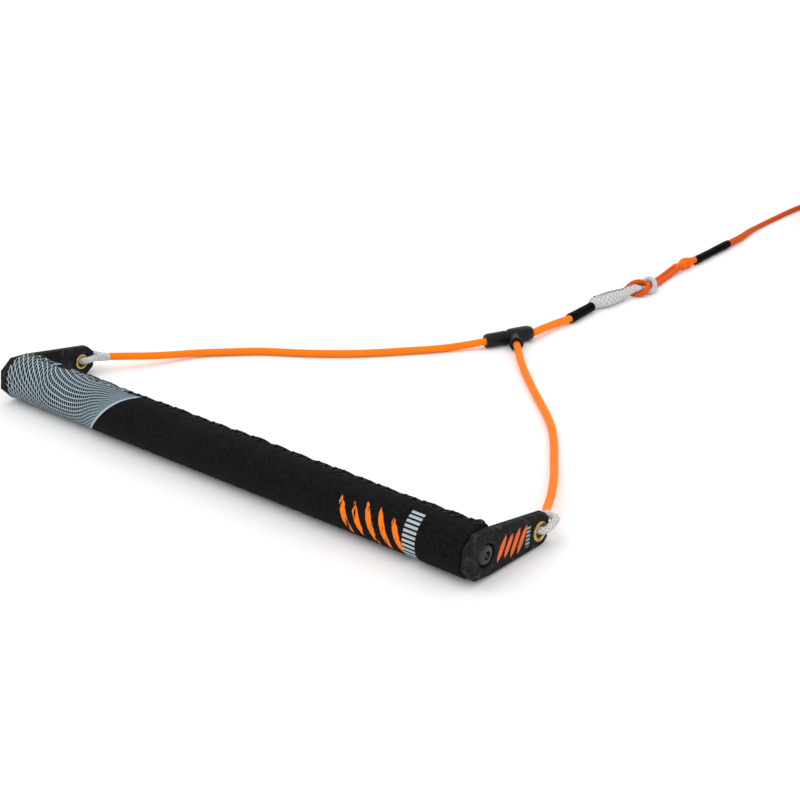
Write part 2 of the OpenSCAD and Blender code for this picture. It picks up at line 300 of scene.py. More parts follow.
def skin(rings, along, around=None, closed_ends=True, start=0):
    """Faces and surface map of rings of points: rings is [ring, point in the ring, xyz]."""
    count, k = rings.shape[:2]
    around = np.arange(k + 1) / k if around is None else around
    i, j = np.meshgrid(np.arange(count - 1), np.arange(k), indexing="ij")
    i, j = i.ravel(), j.ravel()
    n = (j + 1) % k
    quads = np.stack([i * k + j, i * k + n, (i + 1) * k + n, (i + 1) * k + j], axis=1) + start
    uv = np.stack([
        along[i], around[j], along[i], around[j + 1],
        along[i + 1], around[j + 1], along[i + 1], around[j]], axis=1)
    faces, uv = quads.tolist(), uv.reshape(-1, 2).tolist()
    if closed_ends:
        faces.append([start + q for q in range(k - 1, -1, -1)])
        uv += [(along[0], around[q]) for q in range(k - 1, -1, -1)]
        faces.append([start + (count - 1) * k + q for q in range(k)])
        uv += [(along[-1], around[q]) for q in range(k)]
    return faces, uv


def closed_skin(rings, along, around=None):
    """The same for rings whose last joins the first; along has one value more than there are rings."""
    faces, uv = skin(np.concatenate([rings, rings[:1]]), along, around, closed_ends=False)
    count = rings.shape[0] * rings.shape[1]
    return [[q % count for q in face] for face in faces], uv


def braid_height(along, around, strands, lay):
    """Height from 0 to 1 of a braid; along is in diameters and around in turns."""
    a, b = strands * (around + along / lay), strands * (around - along / lay)
    over = (np.floor(a) + np.floor(b)) % 2 < 0.5
    across, run = np.where(over, a % 1, b % 1), np.where(over, b % 1, a % 1)
    return np.sqrt(np.maximum(0, 1 - (2 * across - 1) ** 2)) * (0.6 + 0.4 * np.sin(np.pi * run))


def tube_rings(path, radius, sides, relief=0.0, strands=6, lay=3.4, width=None):
    """Rings round a path. radius is one number or one for each point, and relief is the braid's height."""
    along = lengths(path)
    side, lift = carried_sides(path)
    angle = 2 * np.pi * np.arange(sides) / sides
    radius = np.broadcast_to(radius, (len(path),)).astype(float)
    width = width or 2 * float(np.median(radius))
    r = np.repeat(radius[:, None], sides, axis=1)
    if np.max(relief) > 0:
        grid = braid_height(along[:, None] / width, (np.arange(sides) / sides)[None], strands, lay)
        r = r - np.broadcast_to(relief, (len(path),))[:, None] * (1 - grid)
    ring = (
        path[:, None, :3] + side[:, None] * (r * np.cos(angle))[..., None]
        + lift[:, None] * (r * np.sin(angle))[..., None])
    return ring, along / width


def rounded(path, radius, steps=3):
    """The path and its radii with the two ends rounded off."""
    radius = np.broadcast_to(radius, (len(path),)).astype(float)
    ahead = headings(path)

    def dome(i, way):
        turns = [math.pi / 2 * (1 - q / steps) for q in range(steps)]
        return (
            [(path[i] + way * ahead[i] * radius[i] * END_BULGE * math.sin(a)).tolist() for a in turns],
            [max(radius[i] * math.cos(a), THINNEST) for a in turns])

    (start, start_r), (end, end_r) = dome(0, -1), dome(-1, 1)
    return np.array(start + path.tolist() + end[::-1]), np.array(start_r + radius.tolist() + end_r[::-1])


def rope(name, route, width, material, slot, relief, strands=6, lay=3.4, step=0.55, replaces=()):
    """A braided rope along a route of [x, y, z] or [x, y, z, radius]: the piece, and its path in metres.

    relief, the depth of the braid, and lay, the length of one turn of a strand, are in widths of the rope."""
    curve = smooth(route, step)
    radius = curve[:, 3] if curve.shape[1] > 3 else width / 2
    path, radii = rounded(curve[:, :3], radius)
    rings, along = tube_rings(path, radii, ROPE_SIDES, relief * width, strands, lay, width)
    faces, uv = skin(rings, along)
    obj = add_mesh(name, rings, faces, material, "bridle", uv, replaces)
    return obj, (path * MM).tolist()


def joined_tubes(name, tubes, material, body, replaces=(), sides=8):
    """Several plain tubes, each a (route, radius, step), as one piece."""
    points, faces, uv = [], [], []
    for route, radius, step in tubes:
        path, radii = rounded(smooth(route, step)[:, :3], radius, 2)
        rings, along = tube_rings(path, radii, sides)
        f, u = skin(rings, along, start=len(points))
        points += rings.reshape(-1, 3).tolist()
        faces += f
        uv += u
    return add_mesh(name, points, faces, material, body, uv, replaces)


def towards(start, end):
    """Three directions for a shape drawn along its own Z: two across, then the one from start to end."""
    z = (np.array(end, float) - start) / np.linalg.norm(np.array(end, float) - start)
    x = np.cross([0, 0, 1], z)
    if np.linalg.norm(x) < 1e-6:
        x = np.array([0, 1.0, 0])
    x /= np.linalg.norm(x)
    return x, np.cross(z, x), z


def lathe(name, profile, origin, axis, material, body, replaces=(), sides=64, wave=None):
    """A shape of revolution from a closed profile of [radius, distance along the axis]."""
    profile = np.array(profile, float)
    x, y, z = towards(np.zeros(3), axis)
    angle = 2 * np.pi * np.arange(sides) / sides
    r = np.repeat(profile[:, :1], sides, axis=1)
    if wave is not None:
        r = r + wave(profile[:, None, 1], angle[None], profile[:, None, 0])
    rings = (
        np.array(origin) + profile[:, None, 1:2] * z
        + r[..., None] * (np.cos(angle)[:, None] * x + np.sin(angle)[:, None] * y))
    along = lengths(profile)
    faces, uv = closed_skin(rings, np.append(along, along[-1] + 1))
    return add_mesh(name, rings, faces, material, body, uv, replaces, outward=True)


# ---- rope materials


def braid_material(name, color, painted_hollow_shade, strands, lay, rough, contrast, depth=0.00012, fleck=None):
    """A braid drawn on the surface map. Its second colour is painted shade, laid into the braid's hollows
    together with some random tone, and fleck is the colour of stray yarns.
    """
    g = Graph(name)
    along, around = g.surface()
    turn = along / lay
    a, b = (around + turn) * strands, (around - turn) * strands
    over = ((a.floor() + b.floor()) / 2).fract().below(0.25)
    across = b.fract() + over * (a.fract() - b.fract())
    run = a.fract() + over * (b.fract() - a.fract())
    arch = (1 - (across * 2 - 1) ** 2).root()
    height = arch * ((run * math.pi).sin() * 0.4 + 0.6)
    yarns = ((across * 4).fract() * math.pi).sin()
    cell = g.node("TexWhiteNoise", {"Vector": g.join(a.floor(), b.floor())}, noise_dimensions="2D")
    fibre = g.noise(900.0, 2.0)
    # Painted shade: the braid's hollows and the dips between its yarns are darkened towards the second
    # colour, mixed with a random tone per strand and a fibre noise.
    tone = (height * 0.75 + yarns * 0.1 + cell * 0.1 + fibre * 0.25).step(0.25, 0.95)
    dark = (1 - tone) * contrast
    base = g.mix(dark, color, painted_hollow_shade)
    if fleck is not None:
        spots = g.noise(900.0, 2.0).step(0.5, 0.66)
        base = g.mix(spots * 0.6, base, fleck)
    bump = g.bump(height + yarns * 0.12 + fibre * 0.3, depth)
    return g.finish(base, (1 - height) * 0.15 + rough, bump, Specular_IOR_Level=0.14)


# The second colour of each braid is the painted shade in its hollows.
ORANGE = braid_material(
    "orange_rope", rgb(255, 128, 2), rgb(222, 92, 0), strands=8, lay=3.6, contrast=0.5, rough=0.5)
LINE_ORANGE = braid_material(
    "line_rope", rgb(214, 86, 4), rgb(128, 42, 0), strands=6, lay=3.4, contrast=0.8, rough=0.6)
LOOP_ORANGE = braid_material(
    "loop_rope", rgb(234, 92, 0), rgb(150, 44, 0), strands=6, lay=3.4, contrast=0.8, rough=0.55)
KNOT_ORANGE = braid_material(
    "knot_rope", rgb(252, 112, 4), rgb(188, 66, 0), strands=6, lay=3.4, contrast=0.8, rough=0.55)
WHITE = braid_material(
    "white_braid", rgb(213, 212, 210), rgb(128, 128, 131), strands=6, lay=3.2, contrast=0.75, rough=0.65,
    depth=0.00022, fleck=rgb(150, 150, 155))

# ---- ropes

LEG_D, THROAT_D, EYE_D, LINE_D = 5.2, 5.5, 4.6, 4.0
STEM_D, BIGHT_D = 7.0, 4.2

ROUTE_LEFT = [
    (-184, 47.4, 9.5), (-178, 56.4, 8.4), (-172, 65.4, 7.2), (-162, 84, 4.8), (-152, 103, 2.9),
    (-137, 119, 2.6), (-122, 133, 2.6), (-104, 145, 2.6), (-87, 157, 2.6), (-70, 171, 2.6), (-55, 186, 2.6),
    (-41, 202, 2.6), (-27, 218.6, 2.7), (-14, 235.6, 3.9), (-7.4, 244.6, 4.9), (-3.6, 252, 5)]
ROUTE_RIGHT = [
    (186.4, 48, 10), (184, 51.4, 9.7), (180, 58.4, 9), (174, 69.8, 8), (167.6, 80.6, 7), (154, 102, 4.6),
    (139, 123.4, 2.8), (125, 143, 2.6), (109.4, 162, 2.6), (91.4, 179.6, 2.6), (72, 197, 2.6),
    (52, 215.6, 2.7), (33, 234, 3.6), (15, 253.6, 4.9), (9.8, 259, 5)]
THROAT = [
    (7.6, 275.6, 5), (9.2, 279.4, 5), (9.8, 290, 4.8), (10.1, 301, 4.3), (10.4, 310, 3.9), (11.4, 316.6, 3.8),
    (12.4, 323, 3.8), (12.1, 338, 3.8)]
STEM = [
    (12, 339, 3.8, 2.7), (10.9, 353, 3.8, 2.7), (9.8, 357.6, 4.1, 3.8), (11, 362, 4.6, 4.5),
    (13.4, 367.6, 4.9, 4.8), (14.8, 375.6, 4.9, 4.8), (15.4, 383.6, 4.5, 4.3), (15.8, 390, 4.2, 3.7),
    (17, 395.2, 5.6, 3.2), (18.4, 399, 6.5, 2.9), (18.8, 402, 6.8, 2.5)]
BIGHT = [
    (16.6, 400.4, 6.5), (16.2, 404, 6.4), (15.2, 408.4, 4.5), (14, 412.6, 2.3), (12.4, 417, 2.1),
    (11.6, 421.2, 2.3), (12.6, 424.8, 4.6), (15.4, 426.5, 6.4), (18.6, 425.6, 6.8), (21.8, 423.6, 6.6),
    (24.4, 420.5, 5.2), (25.9, 417.3, 3.3), (25.3, 414, 2.2), (22.4, 412, 2.1), (20.3, 409.8, 2.9),
    (20.1, 406.8, 5), (20.8, 403.4, 6.5), (20.8, 400.4, 6.6)]
HITCH = [
    (12.4, 471, 4.4), (12.6, 460, 2.8), (13.8, 448, 2.1), (15, 438, 2.1), (15.8, 430, 2.1),
    (16.1, 424.8, 2.2), (15.9, 420.6, 4.2), (14, 417.4, 6.2), (10.8, 415.8, 5.9), (8, 413, 4.2),
    (7.6, 409, 2.6), (10, 405.2, 2.1), (13.6, 402.6, 2.1), (17.8, 401.8, 2.1), (22, 403.2, 2.3),
    (24.7, 406.8, 3.8), (24.3, 411, 5.8), (22.2, 414.2, 6.5), (20.2, 417.6, 5.4), (20.1, 421.4, 3.3),
    (20.3, 425.6, 2.1), (20.1, 431, 2.1), (19.1, 438, 2.1), (17.9, 448, 2.1), (16.7, 460, 2.8),
    (16.5, 471, 4.4)]
SPLICE = [
    (16.4, 494, 3.3, 2.6), (16.2, 522, 3.3, 2.6), (16, 548, 3.2, 2.7), (15.4, 562, 2.9, 2.7),
    (14.4, 574, 2.7, 2.6), (12.6, 586, 2.5, 2.4), (11.5, 596, 2.2, 2.1), (11.2, 606, 2.1, 2)]
LINE = [
    (11, 618, 2, 2), (11.1, 636, 2, 2), (11.5, 656, 2, 2), (12.5, 673, 2, 2), (14, 684, 2.1, 2),
    (16, 696, 2.5, 2)]

COIL_X, COIL_Y, COIL_Z = 80, 711, 3.1
COIL_COLUMNS, COIL_LAYERS = 8, 8
COIL_OUTER = 59.0  # middle of the outermost turns
TURN_POINTS = 48
TOW_R = COIL_OUTER - LINE_D * (COIL_COLUMNS - 1) / 2
TOW_Z = COIL_Z + LINE_D * COIL_LAYERS + 0.1
SLEEVE_START, SLEEVE_END = 35, 61  # degrees round the coil
SLEEVE_Z = TOW_Z + 2.3


def eased(share):
    """0 to 1 with a level start and end."""
    return share * share * (3 - 2 * share)


def coil_route():
    """The wound towline: each turn keeps its place for most of the way round, then moves over or up."""
    turns = [
        (layer, column if layer % 2 == 0 else COIL_COLUMNS - 1 - column)
        for layer in range(COIL_LAYERS) for column in range(COIL_COLUMNS)]
    turns.append((COIL_LAYERS - 1, COIL_COLUMNS - 1 if COIL_LAYERS % 2 else 0))
    points = []
    for index in range(len(turns) - 1):
        (z0, c0), (z1, c1) = turns[index], turns[index + 1]
        for q in range(TURN_POINTS):
            share = q / TURN_POINTS
            move = eased(min(1, max(0, (share - 0.8) / 0.2)))
            column, layer = c0 + (c1 - c0) * move, z0 + (z1 - z0) * move
            angle = math.pi - 2 * math.pi * (index + share)
            loose = 0.22 * math.sin(3 * angle + 1.7 * index) + 0.15 * math.sin(5 * angle + 2.9 * index)
            r = COIL_OUTER - LINE_D * column + loose
            points.append((
                COIL_X + r * math.cos(angle), COIL_Y + r * math.sin(angle),
                COIL_Z + LINE_D * layer + 0.1 * math.sin(4 * angle + 2.3 * index)))
    return points


def coil_end():
    """From the end of the last turn over the top of the coil into the tow loop's sleeve."""
    start, goal = math.radians(180), math.radians(SLEEVE_END + 2)
    low = COIL_Z + LINE_D * (COIL_LAYERS - 1)
    points = []
    steps = 18
    for q in range(1, steps + 1):
        share = q / steps
        climb = eased(min(1, share * 2.2))
        r = COIL_OUTER + (TOW_R - COIL_OUTER) * eased(share)
        angle = start + (goal - start) * share
        points.append((
            COIL_X + r * math.cos(angle), COIL_Y + r * math.sin(angle), low + (SLEEVE_Z - low) * climb))
    points.append(tow_point(SLEEVE_END - 6, TOW_R - 0.5, SLEEVE_Z))
    return points


def make_towline():
    """The splice, the line and the whole coil as one rope, finely braided where it is near the handle."""
    near = smooth(SPLICE + LINE + [(*coil_route()[1], 2)], 0.6)
    coil = coil_route()[2:] + coil_end()
    path = np.array(near[:, :3].tolist() + coil)
    radii = np.append(near[:, 3], np.full(len(coil), LINE_D / 2))
    steps = 2
    relief = np.zeros(len(path) + 2 * steps)
    relief[steps:steps + len(near)] = LINE_RELIEF * LINE_D
    path, full = rounded(path, radii, steps)
    rings, along = tube_rings(path, full, LINE_SIDES, relief, width=LINE_D)
    faces, uv = skin(rings, along)
    obj = add_mesh("towline", rings, faces, LINE_ORANGE, "bridle", uv,
                   ("line_splice", "mainline", "mainline_coil"))
    return obj, (path * MM).tolist()


def tow_point(angle, radius, z):
    a = math.radians(angle)
    return COIL_X + radius * math.cos(a), COIL_Y + radius * math.sin(a), z


def tow_route():
    """Out of the sleeve, round the loop's tip and back: degrees, distance from the middle and lift."""
    half = [(42, 2, 2), (35, 2.1, 2), (20, 6.5, 0), (6, 6.5, 0), (-8, 6.5, 0), (-22, 6.5, 0), (-30, 4.6, 0)]
    inner = [tow_point(angle, TOW_R - off, TOW_Z + lift) for angle, off, lift in half]
    outer = [tow_point(angle, TOW_R + off, TOW_Z + lift) for angle, off, lift in half]
    return inner + [tow_point(-33, TOW_R, TOW_Z)] + outer[::-1]


def orange_rope(name, route, width, node):
    return rope(name, route, width, ORANGE, "orange_rope", 0.022, strands=8, lay=3.6, replaces=(node,))


def white_rope(name, route, width, relief=0.05, lay=3.2, **options):
    return rope(name, route, width, WHITE, "white_braid", relief, lay=lay, **options)


def line_rope(name, route, width, material, relief=LINE_RELIEF, **options):
    return rope(name, route, width, material, "line_rope", relief, **options)


leg_left, leg_left_path = orange_rope("leg_left_rope", ROUTE_LEFT, LEG_D, "leg_left")
leg_right, leg_right_path = orange_rope("leg_right_rope", ROUTE_RIGHT, LEG_D, "leg_right")
throat, throat_path = orange_rope("throat", THROAT, THROAT_D, "throat_rope")
stem, stem_path = white_rope("loop_stem", STEM, STEM_D, replaces=("end_loop",))
bight, bight_path = white_rope("loop_bight", BIGHT, BIGHT_D)
hitch, hitch_path = line_rope("line_loop_rope", HITCH, LINE_D, LOOP_ORANGE, replaces=("line_loop",))
towline, towline_path = make_towline()
tow_loop, tow_loop_path = line_rope(
    "tow_loop_rope", tow_route(), LINE_D, LINE_ORANGE, replaces=("tow_loop",))


# ---- other materials

SEAM_AT = -14  # degrees from the top towards the front
SEAM = math.radians(SEAM_AT)
PRINT_SLANT = 0.873


def slashes(g, x, y, first, pitch, count, slant, half_width, low, high, ragged):
    """A row of brushed slanting strokes, from low to high in y: 1 on them and 0 off them."""
    run = x - y * slant
    cell = ((run - first) / pitch).floor()
    inside = ((run - first) / pitch).fract() - 0.5
    shift = g.node("TexWhiteNoise", {"W": cell}, noise_dimensions="1D")
    middle = (low + high) / 2
    reach = (high - low) / 2 * (0.74 + shift * 0.26)
    end = (y - middle).abs() / reach
    taper = (1 - end ** 3.0) * half_width / pitch
    rough_edge = (ragged - 0.5) * (0.1 + end * 0.22)
    stroke = (inside.abs() + rough_edge - taper).below(0.0)
    return stroke * cell.below(count - 0.5) * (0 - cell).below(0.5) * end.below(1.0)


def grip_material():
    g = Graph("grip_rubber")
    across, arc = g.surface()
    grain = g.noise(1500.0, 3.0)
    coarse = g.noise(420.0, 2.0)
    cloud = g.noise(55.0, 2.0)
    black = g.mix(coarse.step(0.35, 0.75), rgb(7, 7, 8), rgb(20, 20, 21))
    black = g.mix(cloud.step(0.45, 0.8) * 0.2, black, rgb(26, 26, 26))

    # A net of pale lines that draws together towards a slanting edge
    y = arc + 8.17
    x = across
    curve = g.tree.nodes.new("ShaderNodeFloatCurve")
    points = curve.mapping.curves[0].points
    wide, tall = 110, 45
    for a, b in ((14, 14), (28.6, 26.5), (40, 36.5), (49, 40), (60, 42), (71, 41.5), (82, 38), (93, 36)):
        points.new(a / wide, b / tall)
    points[0].location, points[-1].location = (0, 0), (1, 34.5 / tall)
    curve.mapping.update()
    g.put(curve.inputs["Value"], x / wide)
    lie = Value(g, curve.outputs[0]) * tall
    spacing = 4.3 - x * 0.012 - (x - 40).max(0.0) * 0.027 - (x - 88).max(0.0) * 0.06
    wobble = (g.noise(60.0, 1.0) - 0.5) * 0.35
    first = ((y - lie + 23) / spacing.max(0.8) + wobble).fract() - 0.5
    lean = x - ((y - 14) / 11).sin() * 4.5
    second = (lean * 0.4 + lean * lean * 0.00111 + wobble).fract() - 0.5
    faded = x.step(96, 66)
    lines = (first.abs() * 2).step(0.66, 0.92)
    bars = (second.abs() * 2).step(0.68, 0.94) * faded
    edge = 105.5 - (y - 12.9) * PRINT_SLANT - x
    near = edge.step(20, 2)
    ground = g.mix((1 - faded) * 0.3 + near * 0.2, rgb(10, 17, 24), rgb(108, 128, 138))
    ink = g.mix(cloud, rgb(182, 198, 204), rgb(156, 175, 183))
    net = g.mix(lines.max(bars).max(edge.step(2.6, 1.0)), ground, ink)
    printed = (0 - edge).below(0.0)
    color = g.mix(printed, black, net)

    # Plain strokes and a ladder of bars in place of lettering
    s = across - HALF
    dry = g.noise(420.0, 5.0, g.join(s * 0.0012, arc * 0.0002))
    strokes = slashes(
        g, s, arc, first=91.5, pitch=9.6, count=5, slant=0.42, half_width=2.2, low=10.5, high=37.0,
        ragged=g.noise(500.0, 3.0)) * dry.step(0.38, 0.43)
    color = g.mix(strokes, color, rgb(244, 122, 22))
    bar_row = (arc / 2.9).fract().below(0.58)
    ladder = bar_row * (s - 153.4).abs().below(4.6) * (arc - 25.0).abs().below(20.0)
    color = g.mix(ladder * 0.92, color, rgb(176, 188, 194))

    bump = g.bump(grain * 0.6 + coarse, 0.00035)
    ink_share = printed.max(strokes).max(ladder)
    return g.finish(color, 0.72 - ink_share * 0.12 + coarse * 0.12, bump, Specular_IOR_Level=0.09)


def cap_material():
    g = Graph("cap_plastic")
    fine, cloud = g.noise(1600.0, 3.0), g.noise(90.0, 4.0)
    wear = g.noise(260.0, 4.0).step(0.5, 0.74)
    base = g.mix(cloud, rgb(20, 20, 21), rgb(36, 36, 37))
    base = g.mix(wear * 0.5, base, rgb(72, 72, 73))
    x, y, z = g.axes(g.place())
    along = (y / MM - AXIS_Y) * math.cos(TILT) - (z / MM - AXIS_Z) * math.sin(TILT)
    high = (y / MM - AXIS_Y) * math.sin(TILT) + (z / MM - AXIS_Z) * math.cos(TILT)
    face = (x / MM - (CAP_FACE - 0.9)).above(0.0)
    strokes = slashes(
        g, along, high, first=10.5, pitch=6.4, count=4, slant=0.42, half_width=2.0, low=-8.4, high=8.6,
        ragged=g.noise(800.0, 3.0)) * face
    base = g.mix(strokes, base, rgb(226, 104, 52))
    bars = (high / 2.4).fract().below(0.56) * (along - 38.6).abs().below(1.9) * high.abs().below(6.2) * face
    base = g.mix(bars * 0.9, base, rgb(150, 168, 180))
    bump = g.bump(fine * 0.5 + cloud, 0.00025)
    return g.finish(base, 0.5 + fine * 0.2, bump, Specular_IOR_Level=0.04)


def metal(name, light, dark, rough):
    g = Graph(name)
    cloud, fine = g.noise(300.0, 4.0), g.noise(1800.0, 2.0)
    base = g.mix(cloud.step(0.3, 0.75), light, dark)
    return g.finish(base, cloud * 0.2 + rough, g.bump(fine + cloud, 0.00006), Metallic=1.0)


def moulded(name, light, dark, rough, scale=500.0, depth=0.0002, **sockets):
    g = Graph(name)
    cloud, fine = g.noise(scale / 4, 3.0), g.noise(scale * 2, 3.0)
    base = g.mix(cloud.step(0.3, 0.72), dark, light)
    return g.finish(base, fine * 0.16 + rough, g.bump(fine + cloud, depth), **sockets)


def woven(name, light, dark, pitch):
    """A flat strap's weave, drawn on the surface map in millimetres."""
    g = Graph(name)
    u, v = g.surface()
    a, b = u / pitch, v / pitch
    over = ((a.floor() + b.floor()) / 2).fract().below(0.25)
    rib_a, rib_b = (a.fract() * math.pi).sin(), (b.fract() * math.pi).sin()
    height = rib_a + over * (rib_b - rib_a)
    # Painted shade and light: the weave is darker where its threads dip under and lighter on their crowns,
    # with some random tone.
    base = g.mix(height * 0.7 + g.noise(700.0, 2.0) * 0.3, dark, light)
    return g.finish(base, 0.75, g.bump(height, 0.0002), Specular_IOR_Level=0.3)


GRIP = grip_material()
CAP = cap_material()
BRASS = metal("brass", rgb(214, 184, 116), rgb(150, 116, 56), 0.26)
STEEL = moulded("black_screw", rgb(22, 22, 24), rgb(10, 10, 11), 0.2, 700.0, 0.00005, Specular_IOR_Level=0.45)
ALUMINIUM = metal("aluminium", rgb(205, 207, 210), rgb(176, 178, 182), 0.32)
FOAM = moulded("foam", rgb(52, 52, 54), rgb(30, 30, 32), 0.85, 900.0)
PLUG = moulded("plug_plastic", rgb(232, 230, 224), rgb(206, 204, 198), 0.4)
SEAL = moulded("seal_rubber", rgb(30, 30, 31), rgb(18, 18, 19), 0.5)
TEE = moulded("moulding_rubber", rgb(16, 15, 16), rgb(6, 6, 7), 0.24, 380.0, 0.00025, Specular_IOR_Level=0.22)
SHRINK = moulded("shrink_sleeve", rgb(3, 3, 4), rgb(1, 1, 2), 0.34, 240.0, 0.0003, Specular_IOR_Level=0.02)
THREAD = moulded("dark_thread", rgb(26, 26, 28), rgb(8, 8, 9), 0.35, 2400.0, 0.0001, Specular_IOR_Level=0.25)
PALE_THREAD = moulded("pale_thread", rgb(120, 124, 128), rgb(64, 66, 70), 0.5, 2400.0, 0.0001)
GREY_THREAD = moulded("grey_thread", rgb(112, 113, 116), rgb(70, 71, 74), 0.5, 2400.0, 0.0001)
WHIP_THREAD = moulded("whip_thread", rgb(170, 178, 182), rgb(104, 112, 118), 0.5, 2400.0, 0.0001)
STRAP = woven("strap", rgb(52, 52, 56), rgb(16, 16, 18), 0.9)

# ---- grip

LUMP = 16.6  # length of one lump of the cover's edge
LUMP_AT = 177.0  # where one of them begins


def arc_gap(theta, at):
    """Distance in millimetres round the grip from theta to an angle in degrees."""
    return ((theta - math.radians(at) + math.pi) % (2 * math.pi) - math.pi) * GRIP_R


def scallop(x):
    return np.abs(np.sin(np.pi * (x - LUMP_AT) / LUMP)) ** 0.55


def hump(theta, at, width):
    """1 along a line at an angle in degrees, falling to 0 beside it over a width in millimetres."""
    return np.exp(-((arc_gap(theta, at) / width) ** 2))


def grip_radius(x, theta):
    """Radius of the cover. theta is measured from the top towards the front."""
    # The lumpy edge of the cover, the seam's groove and the other edge
    rise = 0.95 + 0.3 * np.sin(x / 31 + 1) + 0.2 * np.sin(x / 11.3)
    r = GRIP_R + rise * scallop(x) * hump(theta, -31, 3.6)
    r = r - 0.95 * hump(theta, SEAM_AT, 0.9)
    r = r + 0.3 * scallop(x) * hump(theta, -5, 1.9)
    # A crease where each lump ends
    crease = ((x - LUMP_AT + arc_gap(theta, -20) * 0.35 + LUMP / 2) % LUMP - LUMP / 2) / 1.1
    r = r - 0.5 * np.exp(-(crease**2)) * hump(theta, -12, 4.5)
    # Unevenness, and a fuller stretch low in front near the right end
    r = r + 0.12 * np.sin(x / 7.3 + 2 * theta) * np.sin(x / 17.9 - theta) * (np.cos(theta) > -0.4)
    swell = np.clip((x - 100) / 75, 0, 1) ** 1.5 * 0.8
    r = r + swell * hump(theta, 125, 9)
    # Two pits in front, and a flat below, where the grip lies on the floor
    for place, angle in ((-185.2, 85.3), (179.4, 87.8)):
        off = (x - place) ** 2 / 3.0 + arc_gap(theta, angle) ** 2 / 2.2
        r = r - 2.4 * np.exp(-(off**1.5))
    below = -np.cos(theta)
    floor = np.where(below > 0.3, AXIS_Z / np.maximum(below, 0.3), 99)
    return np.minimum(r, floor)


def make_grip():
    fine, wide = np.radians(np.arange(0, 14, 1.15)), 96
    theta = SEAM + np.concatenate([
        fine, np.linspace(fine[-1], 2 * np.pi - fine[-1], wide)[1:-1], 2 * np.pi - fine[::-1]])[:-1]
    theta = np.append(theta, SEAM + 2 * np.pi - 1e-3)
    end = HALF - 0.3
    turn = [(0, 3.6), (0.02, 2.4), (0.1, 1.2), (0.45, 0.45), (1.1, 0.12), (1.9, 0.02)]
    inner = 11.25
    stations = [(end - d, drop) for d, drop in turn]
    middle = np.linspace(-end + 2.8, end - 2.8, 376)
    lap = 1.8
    xs = [-x - lap for x, _ in stations] + middle.tolist() + [x for x, _ in stations[::-1]]
    drops = [d for _, d in stations] + [0] * len(middle) + [d for _, d in stations[::-1]]
    xs, drops = np.array([-end - lap] + xs + [end]), np.array([0] + drops + [0])
    x, t = np.meshgrid(xs, theta, indexing="ij")
    r = grip_radius(x, t) - drops[:, None]
    r[0], r[-1] = inner, inner
    grain = np.random.default_rng(5).normal(0, 0.03, r.shape)
    grain[:2], grain[-2:] = 0, 0
    r = r + grain
    rings = np.stack([x, AXIS_Y - r * np.sin(t), AXIS_Z + r * np.cos(t)], axis=-1)
    arcs = np.append(theta, theta[0] + 2 * np.pi) * GRIP_R
    faces, uv = closed_skin(rings, np.append(xs, -xs[-1]) + HALF, arcs)
    return add_mesh("grip_skin", rings, faces, GRIP, "handle", uv,
                    ("grip_cover", "seam_lacing"), outward=True)


def on_grip(x, degrees, proud):
    t = math.radians(degrees)
    r = float(grip_radius(np.array(x, float), np.array(t))) + proud
    return x, AXIS_Y - r * math.sin(t), AXIS_Z + r * math.cos(t)


def sewn(name, places, steps, radius, step, material):
    """One stitch at several places: steps of [distance on, degrees, height above the cover]."""
    tubes = [([on_grip(x + dx, angle, proud) for dx, angle, proud in steps], radius, step) for x in places]
    joined_tubes(name, tubes, material, "handle")


def make_stitches():
    """Whip stitches that draw the two edges of the cover together, and the pale lock stitches under them."""
    whip = [-HALF + 3.2]
    while whip[-1] + LUMP * 0.4 < HALF - 4:
        whip.append(whip[-1] + LUMP * 0.4)
    sewn("whip_stitches", whip, (
        (0, -5, -0.5), (0.25, -8, 0.25), (0.7, -12, 0.5), (1.2, -16, 0.5), (1.7, -20, 0.3), (2.1, -25, 0.15),
        (2.3, -29, -0.5)), 0.4, 0.5, THREAD)
    sewn("pale_stitches", [-HALF + 42 + 2.1 * n for n in range(26)], (
        (0, -9, -0.3), (0.3, -11, 0.35), (0.8, -14, 0.55), (1.3, -17, 0.5), (1.6, -20, -0.2)),
        0.42, 0.5, WHIP_THREAD)
    sewn("lock_stitches", [-HALF + 100 + 8.1 * n + 1.3 * math.sin(2.3 * n) for n in range(34)], (
        (0, -11.5, -0.25), (0.4, -13, 0.2), (0.9, -14.5, 0.2), (1.2, -16, -0.1)), 0.2, 0.4, PALE_THREAD)
    tail = ((183.6, -16, 0.2), (185.4, -20, 0.9), (187, -24, 1.0), (188.4, -28, 0.2))
    knot = ((185.6, -15, 0.2), (187, -12, 0.9), (188.6, -16, 0.9), (187.6, -21, 0.7), (186, -19, 0.9))
    tubes = [([on_grip(*place) for place in route], 0.6, 0.5) for route in (tail, knot)]
    joined_tubes("thread_end", tubes, THREAD, "handle")


make_grip()
make_stitches()

# ---- end caps and brass


def soften(node, width):
    """Rounds the sharp edges of a CAD part with modifiers, which leave its mesh alone."""
    obj = frame["nodes"][node]
    weld = obj.modifiers.new("weld", "WELD")
    weld.merge_threshold = 1e-6
    plane = obj.modifiers.new("plane", "DECIMATE")
    plane.decimate_type = "DISSOLVE"
    plane.angle_limit = math.radians(0.6)
    bevel = obj.modifiers.new("bevel", "BEVEL")
    bevel.width = width * MM
    bevel.segments = 3
    bevel.limit_method = "ANGLE"
    bevel.angle_limit = math.radians(25)
    bevel.harden_normals = True
    bevel.use_clamp_overlap = True


def finish_node(node, material):
    mesh = frame["nodes"][node].data
    mesh.materials.clear()
    mesh.materials.append(material)


